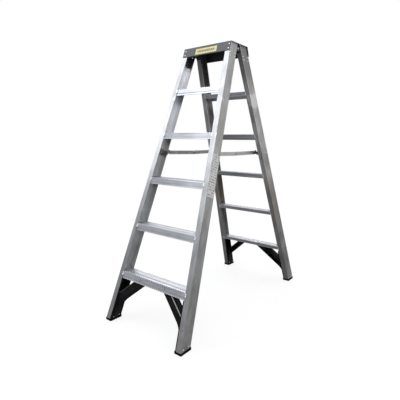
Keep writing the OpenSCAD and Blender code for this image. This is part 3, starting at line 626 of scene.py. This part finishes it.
RUBBER_BLACK = (0.003, 0.003, 0.003)
RUBBER_GREYED = (0.007, 0.007, 0.007)
RUBBER_DUST = (0.08, 0.075, 0.07)
RUBBER_DUST_H = 0.008

rubber, start, place = surface("sole_rubber")
mottle = noise(place, scale=90.0, detail=4.0, roughness=0.65)
dust = (1.0 - place.along(UP).step(0.0, RUBBER_DUST_H)) * mottle.step(0.35, 0.65)
colour = mottle.step(0.3, 0.7).blend(RUBBER_BLACK, RUBBER_GREYED)
colour = (0.20 * dust).blend(colour, RUBBER_DUST)
lacquer(start, noise(place, scale=1500.0), strength=0.4, depth=0.0002,
        Base_Color=colour, Roughness=0.62 + 0.2 * mottle, Specular_IOR_Level=0.05)
dress(each_stile("sole"), rubber, edge=0.0008)

# ---- Foot screws ----------------------------------------------------------------------------
# A zinc-plated cross-head screw through each stile's outer flange into the brace. Its plating
# is dark with dirt.

ZINC_PAINTED_HIGHLIGHT = (0.92, 0.92, 0.91)
ZINC_TARNISH = (0.15, 0.125, 0.10)
SPANGLE_MIX = (0.4, 0.3, 0.3)


def zinc_plated(name, pale, dull, roughness, right_painted_light=0.0):
    """Plated steel: cloudy spangle, a little tarnish, fine rubbing marks and painted light that brightens
    the right side.
    """
    material, start, place = surface(name)
    spangle = start.add("TexVoronoi", (), {"Vector": place, "Scale": 210.0}, "Color").along(SPANGLE_MIX)
    cloud = noise(place, scale=40.0, detail=4.0, roughness=0.6)
    tarnished = noise(place, scale=70.0, detail=4.0, roughness=0.7).step(0.60, 0.72)
    colour = (0.35 * spangle + 0.65 * cloud).step(0.3, 0.7).blend(dull, pale)
    if right_painted_light:
        to_right = place.along(ACROSS).step(-0.01, 0.01)
        colour = (right_painted_light * to_right).blend(colour, ZINC_PAINTED_HIGHLIGHT)
    colour = (0.5 * tarnished).blend(colour, ZINC_TARNISH)
    lacquer(start, noise(place, scale=520.0) + spangle, strength=0.35,
            Base_Color=colour, Metallic=1.0, Roughness=roughness + 0.16 * cloud)
    return material


screw_metal = zinc_plated("plated_screws", pale=(0.36, 0.36, 0.37), dull=(0.14, 0.14, 0.145), roughness=0.26)
dress(each_frame("foot_screws"), screw_metal, edge=0.0)

# ---- Hinge ----------------------------------------------------------------------------------
# At each end of the top, a black coated bracket inside every stile carries a round eye, and one
# plated bolt with washers and a nut joins the two frames' eyes under the caps.

BRACKET_BLACK = (0.052, 0.052, 0.053)
BRACKET_FADED = (0.085, 0.085, 0.087)
CHIPPED = (0.24, 0.235, 0.23)

black_coat, start, place = surface("black_coated_steel")
peel = noise(place, scale=600.0)
patches = noise(place, scale=30.0, detail=4.0, roughness=0.6)
chips = noise(place, scale=190.0, detail=3.0, roughness=0.6).step(0.66, 0.70)
colour = patches.step(0.3, 0.7).blend(BRACKET_BLACK, BRACKET_FADED)
colour = (0.6 * chips).blend(colour, CHIPPED)
lacquer(start, peel - chips, strength=0.4,
        Base_Color=colour, Roughness=0.40 + 0.14 * patches, Specular_IOR_Level=0.4)
dress(each_stile("hinge_bracket"), black_coat, edge=0.0005)

bolt_metal = zinc_plated("plated_bolts", pale=(0.55, 0.55, 0.56), dull=(0.36, 0.36, 0.365), roughness=0.30)
dress(["hinge_bolts", "hinge_washers", "hinge_nuts"], bolt_metal, edge=0.0002)

# ---- Spreader brackets ----------------------------------------------------------------------
# A folded steel bracket riveted inside each stile, with a dark plated finish. An arm reaches out
# of the channel, and the ear on its end carries the bar's pivot.

dark_steel = zinc_plated("dull_plated_steel", pale=(0.34, 0.335, 0.33), dull=(0.19, 0.185, 0.18),
                         roughness=0.36)
dress(each_stile("spreader_bracket"), dark_steel, edge=0.0003)

# ---- Spreader bars --------------------------------------------------------------------------
# Two flat plated bars on each side of the ladder, which meet at a centre rivet. A lug on the
# front bar rests on the rear bar, so the pair locks just below straight.

# Painted light brightens the bars on the right of the ladder
bar_steel = zinc_plated("plated_bar", pale=(0.56, 0.555, 0.54), dull=(0.34, 0.33, 0.32), roughness=0.34,
                        right_painted_light=0.5)
dress(each_stile("spreader_bar"), bar_steel, edge=0.0003)

# ---- Spreader rivets ------------------------------------------------------------------------
# Plated steel rivets: one on each bracket's ear, and one in the middle of each spreader. The
# middle one is in two halves, one on the front bar and one on the rear bar.

rivet_steel = zinc_plated("plated_rivets", pale=(0.24, 0.235, 0.23), dull=(0.12, 0.115, 0.11),
                          roughness=0.32)
dress(each_frame("spreader_pivots", "centre_rivet_left", "centre_rivet_right"), rivet_steel, edge=0.0)
